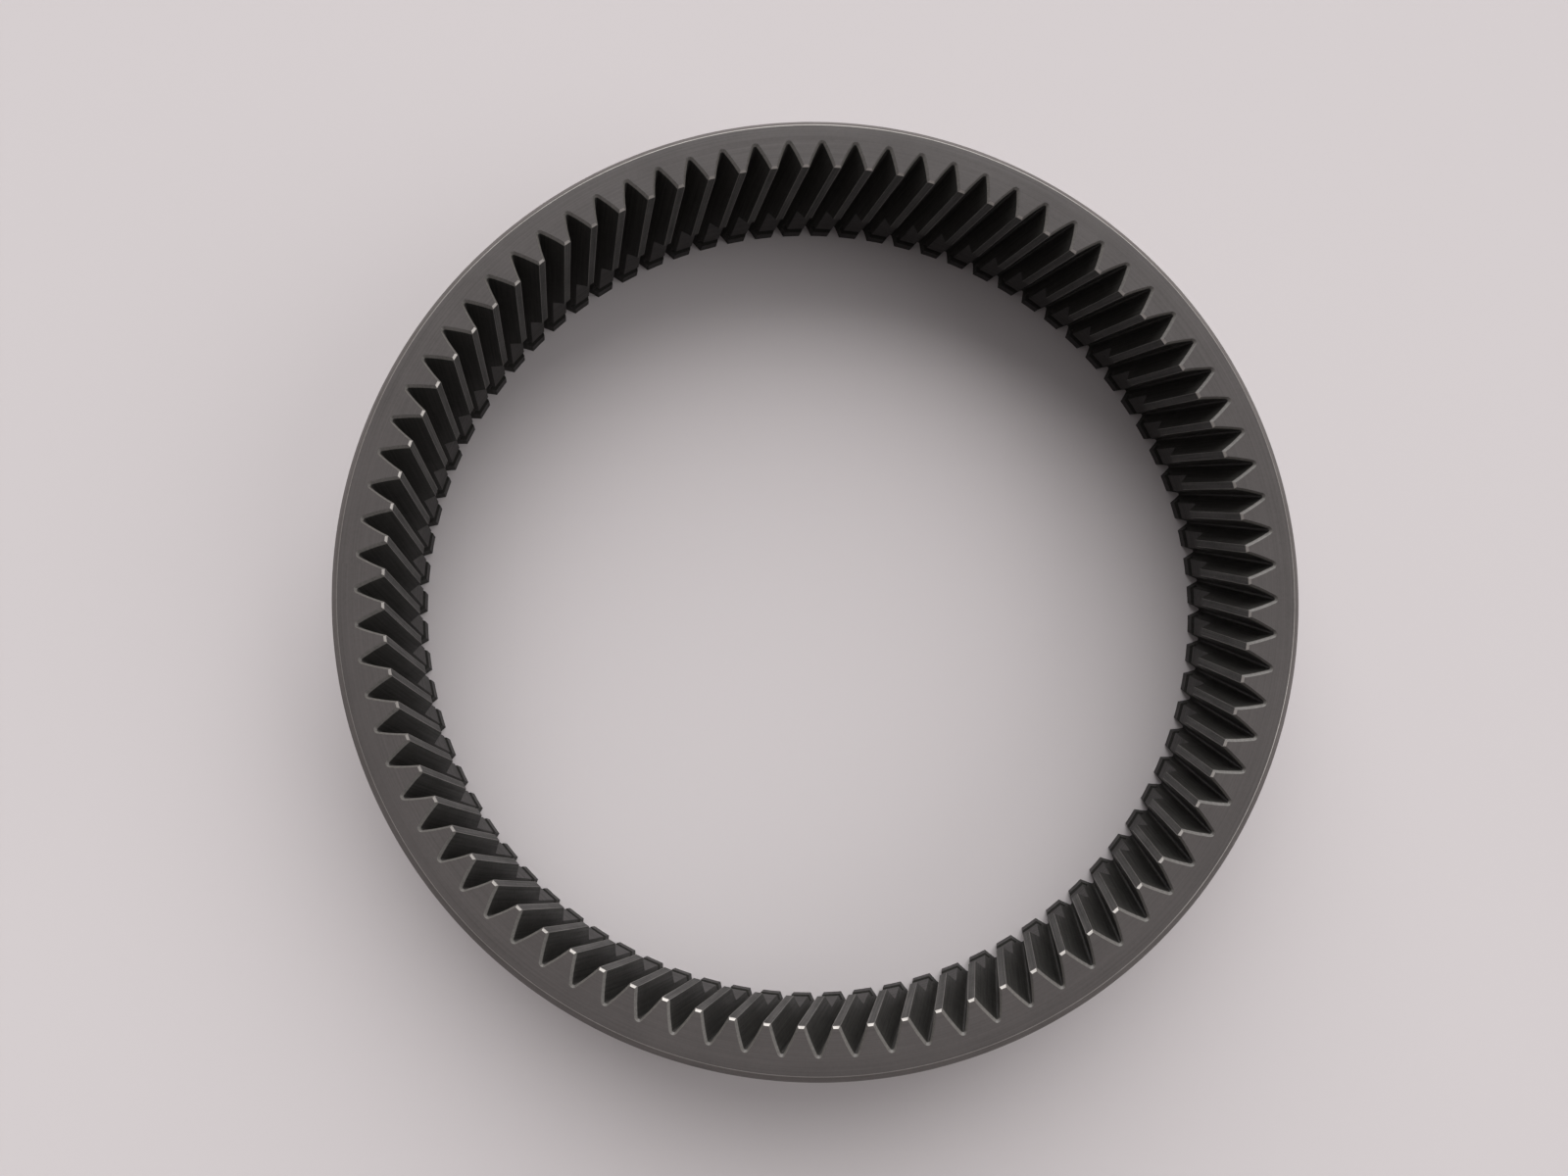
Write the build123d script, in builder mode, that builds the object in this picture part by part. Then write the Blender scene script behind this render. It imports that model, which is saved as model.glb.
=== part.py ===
from build123d import *
from math import acos, atan, cos, degrees, pi, radians, sin, tan
import os

# Helical internal ring gear in one piece, all sizes in millimetres.
# It lies on its recessed end: z = 0 is that end face, and +Z is the gear's own axis.

# Toothing
tooth_count = 82
normal_module = 2.85
normal_pressure_angle = 22.5
helix_angle = 12.3        # left hand: seen from above, a tooth turns anticlockwise as it goes down
addendum = 3.0            # reference cylinder inwards to the tooth tips
dedendum = 4.1            # reference cylinder outwards to the roots of the spaces
end_chamfer = 0.6         # deburring chamfer that follows the tooth outline on the upper face
end_chamfer_depth = 0.7

# Body
face_width = 54.0
rim_thickness = 7.3       # solid metal behind the roots
outer_chamfer = 2.0
tip_chamfer = 0.6         # flat bevel at the mouth of the bore, across the tooth tips
tip_chamfer_depth = 0.5

# Recessed end, where the teeth are turned shorter to take a toothed carrier
recess_height = 3.7       # what is taken off the tooth tips, measured on the radius
recess_length = 18.4
shoulder_length = 2.7     # axial length of the sloping end of the full-height teeth

# Snap-ring groove in the recess
groove_width = 2.5
groove_depth = 1.85
land_width = 3.0          # what is left between the groove and the end face

overrun = 0.2             # how far a cutter runs past the metal that it cuts
flank_steps = 2           # stretches between the points that the curve of a flank runs through


def involute(angle):
    return tan(angle) - angle


# Involute geometry in the transverse plane
reference_radius = tooth_count * normal_module / cos(radians(helix_angle)) / 2
transverse_pressure_angle = atan(tan(radians(normal_pressure_angle)) / cos(radians(helix_angle)))
base_radius = reference_radius * cos(transverse_pressure_angle)
base_half_angle = pi / (2 * tooth_count) + involute(transverse_pressure_angle)
turn_per_mm = degrees(tan(radians(helix_angle)) / reference_radius)

tip_radius = reference_radius - addendum
root_radius = reference_radius + dedendum
outer_radius = root_radius + rim_thickness
recess_radius = tip_radius + recess_height
groove_radius = recess_radius + groove_depth
groove_top = land_width + groove_width


def tooth_space(height, widening=0.0):
    """The outline of one tooth space at a height, moved outwards all round by the widening.

    A line parallel to an involute is the same involute turned about the base circle, so the
    widened outline has the same form.
    """
    half_angle = base_half_angle + widening / base_radius
    inner_radius = tip_radius - overrun
    flank_height = root_radius + widening - inner_radius
    flank = []
    for step in range(flank_steps + 1):
        radius = inner_radius + flank_height * step / flank_steps
        angle = half_angle - involute(acos(base_radius / radius))
        flank.append((radius * cos(angle), radius * sin(angle)))
    other_flank = [(x, -y) for x, y in flank]
    with BuildSketch(Plane.XY.offset(height)) as outline:
        with BuildLine(Rotation(0, 0, -turn_per_mm * height)):
            Spline(*flank)
            Line(flank[-1], other_flank[-1])
            Spline(*other_flank)
            Line(flank[0], other_flank[0])
        make_face()
    return outline.sketch


# One tooth space, turned along the helix from section to section
with BuildPart() as space_cutter:
    add(tooth_space(-overrun))
    add(tooth_space(face_width / 2))
    add(tooth_space(face_width + overrun))
    loft(ruled=True)

# The chamfer round the same space where it opens on the upper face
with BuildPart() as chamfer_cutter:
    slope = end_chamfer / end_chamfer_depth
    add(tooth_space(face_width - end_chamfer_depth - overrun, -slope * overrun))
    add(tooth_space(face_width + overrun, end_chamfer + slope * overrun))
    loft(ruled=True)

with BuildPart() as ring_gear:
    with BuildSketch(Plane.XZ) as half_section:
        with BuildLine():
            Polyline(
                (recess_radius, 0),
                (outer_radius - outer_chamfer, 0),
                (outer_radius, outer_chamfer),
                (outer_radius, face_width - outer_chamfer),
                (outer_radius - outer_chamfer, face_width),
                (tip_radius + tip_chamfer, face_width),
                (tip_radius, face_width - tip_chamfer_depth),
                (tip_radius, recess_length + shoulder_length),
                (recess_radius, recess_length),
                (recess_radius, groove_top),
                (groove_radius, groove_top),
                (groove_radius, land_width),
                (recess_radius, land_width),
                close=True,
            )
        make_face()
    revolve(axis=Axis.Z)
    with PolarLocations(0, tooth_count):
        add(space_cutter.part, mode=Mode.SUBTRACT)
        add(chamfer_cutter.part, mode=Mode.SUBTRACT)

ring_gear.part.label = "ring_gear"
os.makedirs("parts", exist_ok=True)
export_step(ring_gear.part, "parts/ring_gear.step")
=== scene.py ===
from math import acos, atan, cos, pi, radians, sin, sqrt, tan

import bmesh
import bpy
from bpy.props import FloatProperty, FloatVectorProperty, IntProperty, PointerProperty
from bpy.types import Operator, Panel, PropertyGroup
from mathutils import Euler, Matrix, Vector


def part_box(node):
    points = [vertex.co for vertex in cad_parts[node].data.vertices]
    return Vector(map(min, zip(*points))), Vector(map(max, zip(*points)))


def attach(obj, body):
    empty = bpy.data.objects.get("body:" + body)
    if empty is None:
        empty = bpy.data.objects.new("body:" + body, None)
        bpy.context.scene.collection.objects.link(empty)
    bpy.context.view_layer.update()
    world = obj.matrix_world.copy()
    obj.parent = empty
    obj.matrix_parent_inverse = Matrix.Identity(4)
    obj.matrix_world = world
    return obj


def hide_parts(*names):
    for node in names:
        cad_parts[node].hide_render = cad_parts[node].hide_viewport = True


bl_info = {
    "name": "Helical Ring Gear",
    "version": (1, 0, 0),
    "blender": (4, 5, 0),
    "location": "View3D > Sidebar > Ring Gear",
    "description": "Dresses the packed ring gear with its full tooth form and its finishes",
    "category": "Object",
}

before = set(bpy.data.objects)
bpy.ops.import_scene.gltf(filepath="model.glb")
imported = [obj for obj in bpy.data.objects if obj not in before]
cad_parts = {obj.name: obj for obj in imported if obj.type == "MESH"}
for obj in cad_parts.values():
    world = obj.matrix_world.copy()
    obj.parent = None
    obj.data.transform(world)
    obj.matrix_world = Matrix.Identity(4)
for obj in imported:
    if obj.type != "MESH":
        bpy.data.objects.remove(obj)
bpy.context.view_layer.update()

MM = 0.001
RING_LOW, RING_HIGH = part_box("ring_gear")
OUTER_RADIUS = RING_HIGH.x
FACE_WIDTH = RING_HIGH.z - RING_LOW.z
MERGE_DISTANCE = 0.001 * MM
CREASE = radians(28)      # edges sharper than this are shaded as edges


# ---------------------------------------------------------------- properties

def length(name, description, millimetres):
    return FloatProperty(
        name=name, description=description, default=millimetres * MM, min=0.0, unit="LENGTH")


def colour(name, description, default):
    return FloatVectorProperty(
        name=name, description=description, default=default, min=0.0, max=1.0,
        size=3, subtype="COLOR")


def hex_colour(code):
    """An sRGB hex colour as linear red, green and blue."""
    values = [int(code[i:i + 2], 16) / 255 for i in (0, 2, 4)]
    return tuple(v / 12.92 if v <= 0.04045 else ((v + 0.055) / 1.055) ** 2.4 for v in values)


class RingGearSizes(PropertyGroup):
    tooth_count: IntProperty(
        name="Teeth", description="Number of inner teeth", default=82, min=12)
    normal_module: length("Normal module", "Tooth size, measured square to the tooth", 2.85)
    pressure_angle: FloatProperty(
        name="Pressure angle", description="Normal pressure angle of the flanks",
        default=radians(22.5), subtype="ANGLE", unit="ROTATION")
    helix_angle: FloatProperty(
        name="Helix angle",
        description="Slope of the teeth at the reference cylinder, left hand",
        default=radians(12.3), subtype="ANGLE", unit="ROTATION")
    addendum: length("Addendum", "Reference cylinder inwards to the tooth tips", 3.0)
    dedendum: length("Dedendum", "Reference cylinder outwards to the rounded roots", 4.25)
    end_chamfer: length("End chamfer", "Width of the chamfer round each tooth end", 0.6)
    end_chamfer_depth: length("End chamfer depth", "Depth of that chamfer", 0.7)
    tip_chamfer: length("Tip bevel", "Radial width of the bevel across the tooth tips", 0.6)
    tip_chamfer_depth: length("Tip bevel depth", "Depth of that bevel", 0.5)
    outer_chamfer: length("Outer chamfer", "Chamfer at both ends of the rim", 2.0)
    # A lighter strip along each crest edge: partly wear, partly a painted highlight
    rubbed_highlight_line: length("Rubbed highlight line", "Width of the worn line painted as a highlight along each crest edge", 0.15)
    edge_round: length("Edge round", "Radius left on the edges of the rim", 0.3)
    recess_height: length("Recess height", "What is turned off the tips in the recess", 3.7)
    recess_length: length("Recess length", "Axial length of the shortened teeth", 18.4)
    shoulder_length: length("Shoulder length", "Axial length of the slope to full height", 2.7)
    groove_width: length("Groove width", "Width of the snap-ring groove", 2.5)
    groove_depth: length("Groove depth", "Depth of the snap-ring groove", 1.85)
    land_width: length("Land width", "Metal between the groove and the end face", 3.0)


class RingGearFinish(PropertyGroup):
    # Darker than the end faces: the dark phosphate is darkened further as painted shade of the
    # tooth spaces, roots and groove
    flank: colour("Flanks", "Phosphate darkened as painted shade on the cut flanks", hex_colour("2C2B29"))
    crest: colour("Crests", "Phosphate on the bored tooth crests", hex_colour("302F2D"))
    recess: colour("Recess", "Phosphate on the shortened teeth", hex_colour("2E2C2B"))
    face: colour("End faces", "Phosphate on the turned end faces", hex_colour("494544"))
    rim: colour("Rim", "Phosphate on the turned rim and its chamfers", hex_colour("544F4D"))
    # Also the colour of the painted highlight line along each crest edge
    tooth_end: colour("Tooth ends", "Thin coat on the chamfers round the tooth ends",
                      hex_colour("565350"))
    edge: colour("Broken edges", "Steel rubbed bare on the tip bevels and rim edges",
                 hex_colour("827F7C"))
    floor: colour("Floor", "The floor that the gear lies on", hex_colour("C9C3C4"))


# ---------------------------------------------------------------- tooth form

HALVINGS = 60             # of the search for the root's round


def involute(angle):
    """The involute function of gearing: the roll of the flank beyond its pressure angle."""
    return tan(angle) - angle


class ToothForm:
    """The section of one tooth space, centred on the X axis and square to the gear's axis."""

    def __init__(self, sizes):
        self.pitch = 2 * pi / sizes.tooth_count
        self.reference = sizes.tooth_count * sizes.normal_module / cos(sizes.helix_angle) / 2
        pressure = atan(tan(sizes.pressure_angle) / cos(sizes.helix_angle))
        self.base = self.reference * cos(pressure)
        self.base_half_angle = self.pitch / 4 + involute(pressure)
        self.turn = tan(sizes.helix_angle) / self.reference
        self.tip = self.reference - sizes.addendum
        self.root = self.reference + sizes.dedendum
        # The root is one round, tangent to both flanks: its centre lies where the space,
        # narrowed by the radius of the round, closes. It is found by halving.
        near, far = self.reference, self.root
        for _ in range(HALVINGS):
            self.centre = (near + far) / 2
            self.fillet = self.base * self.half_angle(self.centre)
            if self.centre + self.fillet > self.root:
                far = self.centre
            else:
                near = self.centre

    def pressure_at(self, radius):
        return acos(self.base / radius)

    def half_angle(self, radius, widening=0.0):
        """Half of the space's angle at a radius, both flanks moved back by the widening."""
        return (self.base_half_angle + widening / self.base
                - involute(self.pressure_at(radius)))

    def flank_end(self, widening=0.0):
        """The radius at which the flank runs into the root's round."""
        reach = sqrt(self.centre ** 2 - self.base ** 2) + self.fillet + widening
        return sqrt(self.base ** 2 + reach ** 2)

    def root_point(self, share, widening=0.0):
        """Radius and angle on the root's round, from one flank (-1) to the other (1)."""
        swing = share * (pi / 2 - self.pressure_at(self.centre))
        x = self.centre + (self.fillet + widening) * cos(swing)
        y = (self.fillet + widening) * sin(swing)
        return sqrt(x * x + y * y), atan(y / x)


# ---------------------------------------------------------------- pitch sector

# Finishes of the faces, in the order of the tree's material inputs
FINISHES = ("Flanks", "Crests", "Recess", "End Faces", "Rim", "Tooth Ends", "Broken Edges")
FLANK, CREST, RECESS, FACE, RIM, TOOTH_END, EDGE = range(len(FINISHES))

ROOT_STEPS = 8            # facets round each root
RING_STEPS = ROOT_STEPS + 4   # columns of the rim: the root's, and two over each half tooth
HELIX_STEPS = 7           # facets along the full-height teeth
RECESS_STEPS = 2          # facets along the shortened teeth above the groove
BAND_MARGIN = 0.8 * MM    # flat between the chamfered roots and the rim's columns

# Rows of the flank that lie on the recess, on the groove's floor and on the root's round
RECESS_ROW, GROOVE_ROW, LAST_ROW = 4, 6, 8


def pitch_sector(sizes):
    """One pitch of the ring, from tooth middle to tooth middle, as an open mesh.
    Its finish attribute says how each face is machined."""
    form = ToothForm(sizes)
    mesh = bmesh.new()
    finish = mesh.faces.layers.int.new("finish")

    def place(radius, angle, height):
        angle -= form.turn * height
        return radius * cos(angle), radius * sin(angle), height

    def face(kind, *corners):
        made = mesh.faces.new([mesh.verts.new(c) for c in corners])
        made[finish] = kind

    recess = form.tip + sizes.recess_height
    groove = recess + sizes.groove_depth
    groove_top = sizes.land_width + sizes.groove_width
    bevel = form.tip + sizes.tip_chamfer
    shoulder_top = sizes.recess_length + sizes.shoulder_length
    chamfer_start = FACE_WIDTH - sizes.end_chamfer_depth
    bevel_start = FACE_WIDTH - sizes.tip_chamfer_depth

    # Radii of the flank's rows. The last two run on to the round of the root.
    step = (recess - bevel) / 3
    radii = [form.tip, bevel, bevel + step, bevel + 2 * step, recess,
             recess + sizes.groove_depth / 2, groove]

    def widening(height):
        """How far the end chamfer has moved the flanks back at a height."""
        return sizes.end_chamfer * max(0.0, height - chamfer_start) / sizes.end_chamfer_depth

    def flank(row, height):
        """Radius and half-angle of the space at a row of the flank."""
        wide = widening(height)
        if row < len(radii):
            radius = radii[row]
        else:
            share = (row - GROOVE_ROW) / (LAST_ROW - GROOVE_ROW)
            radius = groove + (form.flank_end(wide) - groove) * share
        return radius, form.half_angle(radius, wide)

    def on_flank(row, height, side):
        radius, half = flank(row, height)
        return place(radius, side * half, height)

    def over_tooth(row, height, side):
        """Over half a tooth from the flank: its edge, the end of the painted highlight line,
        its middle.
        """
        radius, half = flank(row, height)
        return [place(radius, side * angle, height)
                for angle in (half, half + sizes.rubbed_highlight_line / radius, form.pitch / 2)]

    # Levels: height, and the rows of the tooth's crest just below and just above it
    levels = [(0.0, None, RECESS_ROW), (sizes.land_width, RECESS_ROW, GROOVE_ROW),
              (groove_top, GROOVE_ROW, RECESS_ROW)]
    levels += [(groove_top + (sizes.recess_length - groove_top) * i / RECESS_STEPS,
                RECESS_ROW, RECESS_ROW) for i in range(1, RECESS_STEPS)]
    slope = sizes.shoulder_length / sizes.recess_height
    levels += [(shoulder_top - slope * (radii[row] - form.tip), row, row)
               for row in range(RECESS_ROW, -1, -1)]
    levels += [(shoulder_top + (chamfer_start - shoulder_top) * i / HELIX_STEPS, 0, 0)
               for i in range(1, HELIX_STEPS + 1)]
    levels += [(bevel_start, 0, 0), (FACE_WIDTH, 1, None)]

    for (low, _, low_row), (high, high_row, _) in zip(levels, levels[1:]):
        cut = TOOTH_END if low > chamfer_start - MERGE_DISTANCE else FLANK
        for side in (-1, 1):
            for row in range(min(low_row, high_row), LAST_ROW):
                # Where the crest steps, a row that only one level has ends in a triangle
                corners = [(row, low), (row + 1, low), (row + 1, high), (row, high)]
                if row < low_row:
                    corners.remove((row, low))
                if row < high_row:
                    corners.remove((row, high))
                face(cut, *(on_flank(*corner, side) for corner in corners))
            crest = CREST if low > shoulder_top - MERGE_DISTANCE else RECESS
            # The bevel across the tip is rubbed bare. A line along each crest edge has the
            # lighter thin coat of
            # the tooth ends: partly wear, partly a painted highlight of the light that the
            # edge catches
            if low_row < high_row:
                crest = EDGE
            # The crest's edge strip is painted lighter as a highlight, and stands for some
            # wear too
            rubbed = TOOTH_END if crest == CREST else crest
            lower, upper = over_tooth(low_row, low, side), over_tooth(high_row, high, side)
            face(rubbed, lower[0], upper[0], upper[1], lower[1])
            face(crest, lower[1], upper[1], upper[2], lower[2])
        for i in range(ROOT_STEPS):
            shares = (2 * i / ROOT_STEPS - 1, 2 * (i + 1) / ROOT_STEPS - 1)
            lower = [place(*form.root_point(s, widening(low)), low) for s in shares]
            upper = [place(*form.root_point(s, widening(high)), high) for s in shares]
            face(cut, lower[0], lower[1], upper[1], upper[0])

    def across_tooth(kind, height, first, last):
        """Level faces over the tooth from one row of the flank to another."""
        for row in range(first, last):
            for side in (-1, 1):
                near, far = over_tooth(row, height, side), over_tooth(row + 1, height, side)
                for i in range(2):
                    face(kind, near[i], far[i], far[i + 1], near[i + 1])

    across_tooth(FLANK, sizes.land_width, RECESS_ROW, GROOVE_ROW)
    across_tooth(FLANK, groove_top, RECESS_ROW, GROOVE_ROW)

    # End faces, from the teeth to the columns of the rim, which stand upright
    grid = form.pitch / RING_STEPS
    columns = [grid * i - form.pitch / 2 for i in range(RING_STEPS + 1)]
    inner_ring = form.root + sizes.end_chamfer + BAND_MARGIN
    rim = rim_section(sizes)
    for height, first in ((0.0, RECESS_ROW), (FACE_WIDTH, 1)):
        across_tooth(FACE, height, first, LAST_ROW)
        wide = widening(height)
        end, half = flank(LAST_ROW, height)
        line_end = half + sizes.rubbed_highlight_line / end
        inner = [(end, -form.pitch / 2), (end, -line_end)]
        inner += [form.root_point(2 * i / ROOT_STEPS - 1, wide) for i in range(ROOT_STEPS + 1)]
        inner += [(end, line_end), (end, form.pitch / 2)]
        # The teeth have turned by the upper face, so it meets the columns of the rim that
        # lie nearest
        turned = -form.turn * height
        skew = round(turned / grid) * grid - turned
        edge = rim[0][0]
        for i in range(RING_STEPS):
            ring = [(inner_ring, columns[i]), (inner_ring, columns[i + 1])]
            outer = [(edge, columns[i] + skew), (edge, columns[i + 1] + skew)]
            for near, far in (((inner[i], inner[i + 1]), ring), (ring, outer)):
                face(FACE, place(*near[0], height), place(*near[1], height),
                     place(*far[1], height), place(*far[0], height))
    for number, ((r0, z0), (r1, z1)) in enumerate(zip(rim, rim[1:])):
        # Each edge gives two facets of its round, and a turned surface follows
        kind = RIM if number % 3 == 2 else EDGE
        for a0, a1 in zip(columns, columns[1:]):
            face(kind, (r0 * cos(a0), r0 * sin(a0), z0), (r0 * cos(a1), r0 * sin(a1), z0),
                 (r1 * cos(a1), r1 * sin(a1), z1), (r1 * cos(a0), r1 * sin(a0), z1))

    bmesh.ops.remove_doubles(mesh, verts=mesh.verts, dist=MERGE_DISTANCE)
    bmesh.ops.recalc_face_normals(mesh, faces=mesh.faces)
    mesh.normal_update()
    # The sector is open, so its upper face tells whether the normals point outwards
    top = max(mesh.faces, key=lambda f: f.calc_center_median().z)
    if top.normal.z < 0:
        bmesh.ops.reverse_faces(mesh, faces=mesh.faces)
    data = bpy.data.meshes.new("pitch_sector")
    mesh.to_mesh(data)
    mesh.free()
    sector = bpy.data.objects.new("pitch_sector", data)
    bpy.context.scene.collection.objects.link(sector)
    return sector


def rim_section(sizes):
    """Radius and height along the outside, from the upper face down to the lower one,
    with a small round on each edge."""
    chamfer, soft = sizes.outer_chamfer, sizes.edge_round * tan(pi / 8)
    corners = [(OUTER_RADIUS - chamfer, FACE_WIDTH), (OUTER_RADIUS, FACE_WIDTH - chamfer),
               (OUTER_RADIUS, chamfer), (OUTER_RADIUS - chamfer, 0.0)]
    section = []
    outline = [(corners[0][0] - chamfer, FACE_WIDTH), *corners, (corners[3][0] - chamfer, 0.0)]
    for before, corner, after in zip(outline, corners, outline[2:]):
        corner, before, after = Vector(corner), Vector(before), Vector(after)
        start = corner + (before - corner).normalized() * soft
        end = corner + (after - corner).normalized() * soft
        middle = (start + end) / 4 + corner / 2
        section += [tuple(start), tuple(middle), tuple(end)]
    return section


# ---------------------------------------------------------------- nodes

A_INT, B_INT = 2, 3       # the whole-number inputs of the Compare node


def add_node(tree, kind, links=(), **settings):
    """Adds a node, sets its properties, and fills its inputs from values or other outputs."""
    node = tree.nodes.new(kind)
    for name, value in settings.items():
        setattr(node, name, value)
    for name, value in dict(links).items():
        if isinstance(value, bpy.types.NodeSocket):
            tree.links.new(value, node.inputs[name])
        else:
            node.inputs[name].default_value = value
    return node


def ring_tree():
    """Repeats the pitch sector round the Z axis, joins the copies and gives each finish its
    material."""
    tree = bpy.data.node_groups.new("Ring of Teeth", "GeometryNodeTree")
    sockets = tree.interface
    sockets.new_socket("Geometry", in_out="OUTPUT", socket_type="NodeSocketGeometry")
    for name, kind in (("Geometry", "Geometry"), ("Teeth", "Int"), ("Pitch Sector", "Object"),
                       ("Merge Distance", "Float"),
                       *((name, "Material") for name in FINISHES)):
        sockets.new_socket(name, in_out="INPUT", socket_type="NodeSocket" + kind)
    given = add_node(tree, "NodeGroupInput").outputs
    sector = add_node(tree, "GeometryNodeObjectInfo", {"Object": given["Pitch Sector"]})
    points = add_node(tree, "GeometryNodeMeshLine", {
        "Count": given["Teeth"], "Offset": (0, 0, 0)})
    step = add_node(tree, "ShaderNodeMath", {0: 2 * pi, 1: given["Teeth"]}, operation="DIVIDE")
    index = add_node(tree, "GeometryNodeInputIndex")
    angle = add_node(tree, "ShaderNodeMath", {0: index.outputs[0], 1: step.outputs[0]},
                     operation="MULTIPLY")
    turn = add_node(tree, "ShaderNodeCombineXYZ", {"Z": angle.outputs[0]})
    copies = add_node(tree, "GeometryNodeInstanceOnPoints", {
        "Points": points.outputs[0], "Instance": sector.outputs["Geometry"],
        "Rotation": turn.outputs[0]})
    whole = add_node(tree, "GeometryNodeRealizeInstances", {"Geometry": copies.outputs[0]})
    joined = add_node(tree, "GeometryNodeMergeByDistance", {
        "Geometry": whole.outputs[0], "Distance": given["Merge Distance"]})
    finish = add_node(tree, "GeometryNodeInputNamedAttribute", {"Name": "finish"},
                      data_type="INT").outputs["Attribute"]
    ring = joined.outputs[0]
    for number, name in enumerate(FINISHES):
        chosen = add_node(tree, "FunctionNodeCompare", {A_INT: finish, B_INT: number},
                          data_type="INT", operation="EQUAL")
        ring = add_node(tree, "GeometryNodeSetMaterial", {
            "Geometry": ring, "Selection": chosen.outputs[0],
            "Material": given[name]}).outputs[0]
    add_node(tree, "NodeGroupOutput", {"Geometry": ring})
    return tree


# ---------------------------------------------------------------- materials

# Size of the tool's lines by the lay of the cut: round the gear, outwards and along its
# axis. They are coarser than real tool marks so that they show.
LAYS = {
    "helical": (0.5 * MM, 0.6 * MM, 25 * MM),
    "concentric": (60 * MM, 0.45 * MM, 60 * MM),
    "girth": (60 * MM, 60 * MM, 0.5 * MM),
}
GRAIN_SIZE, CLOUD_SIZE = 1.0 * MM, 12 * MM
LINE_WEIGHT = 2.0         # of the lines, against the grain and the cloud
BLEND_LOW, BLEND_HIGH = 1.4, 2.6
ROUGHNESS_SPREAD = 0.08
RELIEF, RELIEF_DEPTH = 0.15, 0.02 * MM


def machined_steel(name, shade, roughness, lay, contrast, metallic=0.0, gloss=0.2):
    """Machined steel, bare or under a dark satin phosphate of crystal patches. The lay of the
    cut shows as fine lines, and is one of LAYS."""
    material = bpy.data.materials.new(name)
    material.use_nodes = True
    tree = material.node_tree
    tree.nodes.clear()
    place = add_node(tree, "ShaderNodeTexCoord").outputs["Object"]
    part = add_node(tree, "ShaderNodeSeparateXYZ", {0: place}).outputs
    angle = add_node(tree, "ShaderNodeMath", {0: part["Y"], 1: part["X"]},
                     operation="ARCTAN2").outputs[0]
    flat = add_node(tree, "ShaderNodeCombineXYZ", {"X": part["X"], "Y": part["Y"]}).outputs[0]
    radius = add_node(tree, "ShaderNodeVectorMath", {0: flat},
                      operation="LENGTH").outputs["Value"]
    form = ToothForm(bpy.context.scene.ring_gear_sizes)
    straight = add_node(tree, "ShaderNodeMath", {0: part["Z"], 1: form.turn, 2: angle},
                        operation="MULTIPLY_ADD").outputs[0]
    arc = add_node(tree, "ShaderNodeMath", {0: straight, 1: form.reference},
                   operation="MULTIPLY").outputs[0]
    stretch = tuple(1 / size for size in LAYS[lay])
    along = add_node(tree, "ShaderNodeCombineXYZ", {"X": arc, "Y": radius, "Z": part["Z"]})
    lined = add_node(tree, "ShaderNodeVectorMath", {0: along.outputs[0], 1: stretch},
                     operation="MULTIPLY")
    lines = add_node(tree, "ShaderNodeTexNoise", {
        "Vector": lined.outputs[0], "Scale": 1.0, "Detail": 2.0, "Roughness": 0.55}).outputs[0]
    grain = add_node(tree, "ShaderNodeTexNoise", {
        "Vector": place, "Scale": 1 / GRAIN_SIZE, "Detail": 3.0, "Roughness": 0.6}).outputs[0]
    cloud = add_node(tree, "ShaderNodeTexNoise", {
        "Vector": place, "Scale": 1 / CLOUD_SIZE, "Detail": 3.0, "Roughness": 0.5}).outputs[0]
    blend = add_node(tree, "ShaderNodeMath", {0: grain, 1: cloud}, operation="ADD").outputs[0]
    blend = add_node(tree, "ShaderNodeMath", {0: lines, 1: LINE_WEIGHT, 2: blend},
                     operation="MULTIPLY_ADD").outputs[0]
    level = add_node(tree, "ShaderNodeMapRange", {
        "Value": blend, "From Min": BLEND_LOW, "From Max": BLEND_HIGH,
        "To Min": 1 - contrast, "To Max": 1 + contrast}).outputs[0]
    tint = add_node(tree, "ShaderNodeVectorMath", {0: tuple(shade), "Scale": level},
                    operation="SCALE").outputs[0]
    rough = add_node(tree, "ShaderNodeMapRange", {
        "Value": blend, "From Min": BLEND_LOW, "From Max": BLEND_HIGH,
        "To Min": roughness + ROUGHNESS_SPREAD,
        "To Max": roughness - ROUGHNESS_SPREAD}).outputs[0]
    relieved = add_node(tree, "ShaderNodeBump", {
        "Strength": RELIEF, "Distance": RELIEF_DEPTH, "Height": blend}).outputs[0]
    shader = add_node(tree, "ShaderNodeBsdfPrincipled", {
        "Base Color": tint, "Roughness": rough, "Normal": relieved, "Metallic": metallic})
    if not metallic:
        shader.inputs["Specular IOR Level"].default_value = gloss
    add_node(tree, "ShaderNodeOutputMaterial", {"Surface": shader.outputs[0]})
    return material


def ring_finishes(finish):
    """The machined finishes of the ring, by the names of the tree's inputs."""
    return {
        # Painted shade: the flanks, roots and groove walls get a darker shade than the faces
        "Flanks": machined_steel(
            "Phosphated steel darkened as painted shade, shaped flanks", finish.flank, 0.5, "helical", 0.35),
        "Crests": machined_steel(
            "Phosphated steel, bored crests", finish.crest, 0.45, "helical", 0.5),
        "Recess": machined_steel(
            "Phosphated steel, turned recess", finish.recess, 0.45, "girth", 0.3),
        "End Faces": machined_steel(
            "Phosphated steel, turned faces", finish.face, 0.5, "concentric", 0.15),
        "Rim": machined_steel(
            "Phosphated steel, turned rim", finish.rim, 0.45, "girth", 0.15),
        # Also laid on a line along each crest edge as a painted highlight
        "Tooth Ends": machined_steel(
            "Thinly phosphated steel, deburred tooth ends", finish.tooth_end,
            0.4, "helical", 0.3, gloss=0.5),
        "Broken Edges": machined_steel(
            "Bare steel, rubbed edges", finish.edge, 0.38, "girth", 0.25, metallic=1.0),
    }


# ---------------------------------------------------------------- stage

FLOOR_REACH = 40.0
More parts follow.
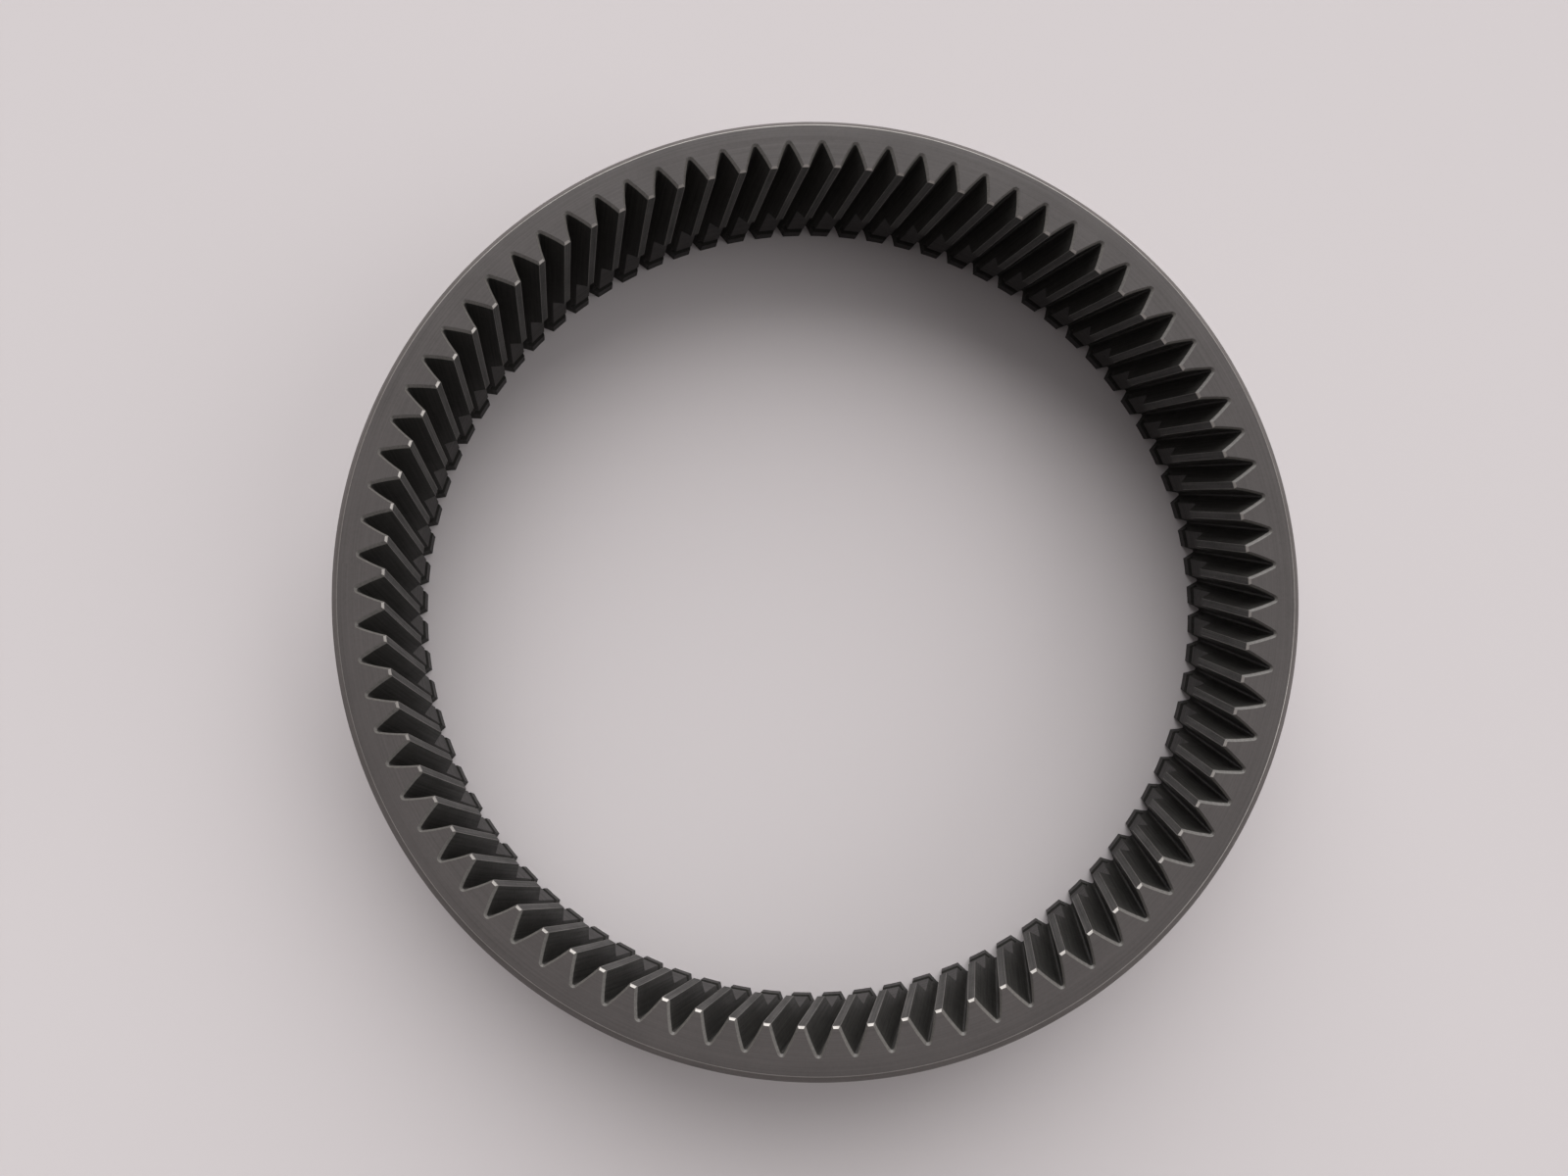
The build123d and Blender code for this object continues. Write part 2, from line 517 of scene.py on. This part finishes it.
# Suns, each so far off that the floor is lit evenly: strength, the angle that it fills, its
# bearing from the X axis and its elevation, in degrees. A broad window-like one grazes the
# gear from beyond it, a weaker one comes from its right and a soft one from above.
LAMPS = {
    "window_lamp": (3.6, 74, 87, 34),
    "side_lamp": (0.8, 44, -8, 34),
    "top_lamp": (0.6, 80, 90, 68),
}
# The surround: its colour, and its strength as light and as a backdrop
SURROUND, FILL, BACKDROP = hex_colour("D6D0D0"), 0.26, 1.0
SENSOR_WIDTH, FOCAL_LENGTH = 36.0, 25.92
CAMERA_OFFSET = (-17.365 * MM, -39.532 * MM)
CAMERA_CLEARANCE = 301.07 * MM      # above the upper face
CAMERA_SPIN, CAMERA_TILT, CAMERA_LEAN = 0.027676, 0.12052, -0.0248
CLIP_START, CLIP_END = 0.01, 100.0


# ---------------------------------------------------------------- operators

class RINGGEAR_OT_ring(Operator):
    """Builds the ring with its full tooth form from one pitch, in place of the plain solid"""
    bl_idname = "ringgear.ring"
    bl_label = "Ring and Teeth"

    def execute(self, context):
        sizes, finish = context.scene.ring_gear_sizes, context.scene.ring_gear_finish
        sector = pitch_sector(sizes)
        host = bpy.data.objects.new("ring_host", bpy.data.meshes.new("ring_host"))
        context.scene.collection.objects.link(host)
        tree = ring_tree()
        repeat = host.modifiers.new("Ring of Teeth", "NODES")
        repeat.node_group = tree
        values = {"Teeth": sizes.tooth_count, "Pitch Sector": sector,
                  "Merge Distance": MERGE_DISTANCE, **ring_finishes(finish)}
        for item in tree.interface.items_tree:
            if item.in_out == "INPUT" and item.name in values:
                repeat[item.identifier] = values[item.name]
        graph = context.evaluated_depsgraph_get()
        mesh = bpy.data.meshes.new_from_object(host.evaluated_get(graph), depsgraph=graph)
        host.modifiers.remove(repeat)
        bpy.data.objects.remove(host)
        bpy.data.objects.remove(sector)
        if len(mesh.polygons) == 0:
            raise RuntimeError("the ring came out empty")
        mesh.name = "toothed_ring"
        mesh.attributes.remove(mesh.attributes["finish"])
        mesh.shade_smooth()
        mesh.set_sharp_from_angle(angle=CREASE)
        ring = bpy.data.objects.new("toothed_ring", mesh)
        context.scene.collection.objects.link(ring)
        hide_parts("ring_gear")
        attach(ring, "root")
        return {"FINISHED"}


class RINGGEAR_OT_stage(Operator):
    """Lays the floor, hangs the lamps and sets the camera above the gear"""
    bl_idname = "ringgear.stage"
    bl_label = "Stage"

    def execute(self, context):
        scene = context.scene
        finish = scene.ring_gear_finish

        ground = bpy.data.meshes.new("floor")
        far = FLOOR_REACH
        ground.from_pydata([(-far, -far, 0), (far, -far, 0), (far, far, 0), (-far, far, 0)],
                           [], [(0, 1, 2, 3)])
        floor = bpy.data.objects.new("floor", ground)
        scene.collection.objects.link(floor)
        paint = bpy.data.materials.new("Matt floor paint")
        paint.use_nodes = True
        paint.node_tree.nodes.clear()
        coat = add_node(paint.node_tree, "ShaderNodeBsdfPrincipled", {
            "Base Color": (*finish.floor, 1.0), "Roughness": 0.9, "Specular IOR Level": 0.2})
        add_node(paint.node_tree, "ShaderNodeOutputMaterial", {"Surface": coat.outputs[0]})
        ground.materials.append(paint)

        for name, (strength, width, bearing, elevation) in LAMPS.items():
            lamp = bpy.data.lights.new(name, "SUN")
            lamp.energy = strength
            lamp.angle = radians(width)
            holder = bpy.data.objects.new(name, lamp)
            holder.rotation_euler = Euler((radians(90 - elevation), 0, radians(bearing + 90)))
            scene.collection.objects.link(holder)

        # A dim, even surround that shows as a pale backdrop
        world = bpy.data.worlds.new("Studio")
        world.use_nodes = True
        tree = world.node_tree
        tree.nodes.clear()
        ray = add_node(tree, "ShaderNodeLightPath").outputs
        seen = add_node(tree, "ShaderNodeMath", {
            0: ray["Is Camera Ray"], 1: ray["Is Glossy Ray"]}, operation="ADD").outputs[0]
        seen = add_node(tree, "ShaderNodeMath", {
            0: seen, 1: ray["Is Transmission Ray"]}, operation="ADD").outputs[0]
        level = add_node(tree, "ShaderNodeMapRange", {
            "Value": seen, "To Min": FILL, "To Max": BACKDROP}).outputs[0]
        sky = add_node(tree, "ShaderNodeBackground", {
            "Color": (*SURROUND, 1.0), "Strength": level})
        add_node(tree, "ShaderNodeOutputWorld", {"Surface": sky.outputs[0]})
        scene.world = world

        lens = bpy.data.cameras.new("camera")
        lens.sensor_width, lens.lens = SENSOR_WIDTH, FOCAL_LENGTH
        lens.clip_start, lens.clip_end = CLIP_START, CLIP_END
        camera = bpy.data.objects.new("camera", lens)
        spin = Euler((0, 0, CAMERA_SPIN)).to_matrix()
        camera.location = spin @ Vector((*CAMERA_OFFSET, FACE_WIDTH + CAMERA_CLEARANCE))
        camera.rotation_euler = (spin @ Euler((CAMERA_TILT, 0, 0)).to_matrix()
                                 @ Euler((0, CAMERA_LEAN, 0)).to_matrix()).to_euler()
        scene.collection.objects.link(camera)
        scene.camera = camera
        scene.view_settings.view_transform = "Standard"
        return {"FINISHED"}


class RINGGEAR_PT_panel(Panel):
    """Sizes, finishes and pieces of the ring gear"""
    bl_idname = "RINGGEAR_PT_panel"
    bl_label = "Ring Gear"
    bl_space_type = "VIEW_3D"
    bl_region_type = "UI"
    bl_category = "Ring Gear"

    def draw(self, context):
        for group in (context.scene.ring_gear_sizes, context.scene.ring_gear_finish):
            column = self.layout.column(align=True)
            for name in group.__annotations__:
                column.prop(group, name)
        for operator in (RINGGEAR_OT_ring, RINGGEAR_OT_stage):
            self.layout.operator(operator.bl_idname)


CLASSES = (RingGearSizes, RingGearFinish, RINGGEAR_OT_ring, RINGGEAR_OT_stage,
           RINGGEAR_PT_panel)


def register():
    for part in CLASSES:
        bpy.utils.register_class(part)
    bpy.types.Scene.ring_gear_sizes = PointerProperty(type=RingGearSizes)
    bpy.types.Scene.ring_gear_finish = PointerProperty(type=RingGearFinish)


def unregister():
    del bpy.types.Scene.ring_gear_finish
    del bpy.types.Scene.ring_gear_sizes
    for part in reversed(CLASSES):
        bpy.utils.unregister_class(part)


def main():
    register()
    bpy.ops.ringgear.ring()
    bpy.ops.ringgear.stage()


if __name__ == "__main__":
    main()
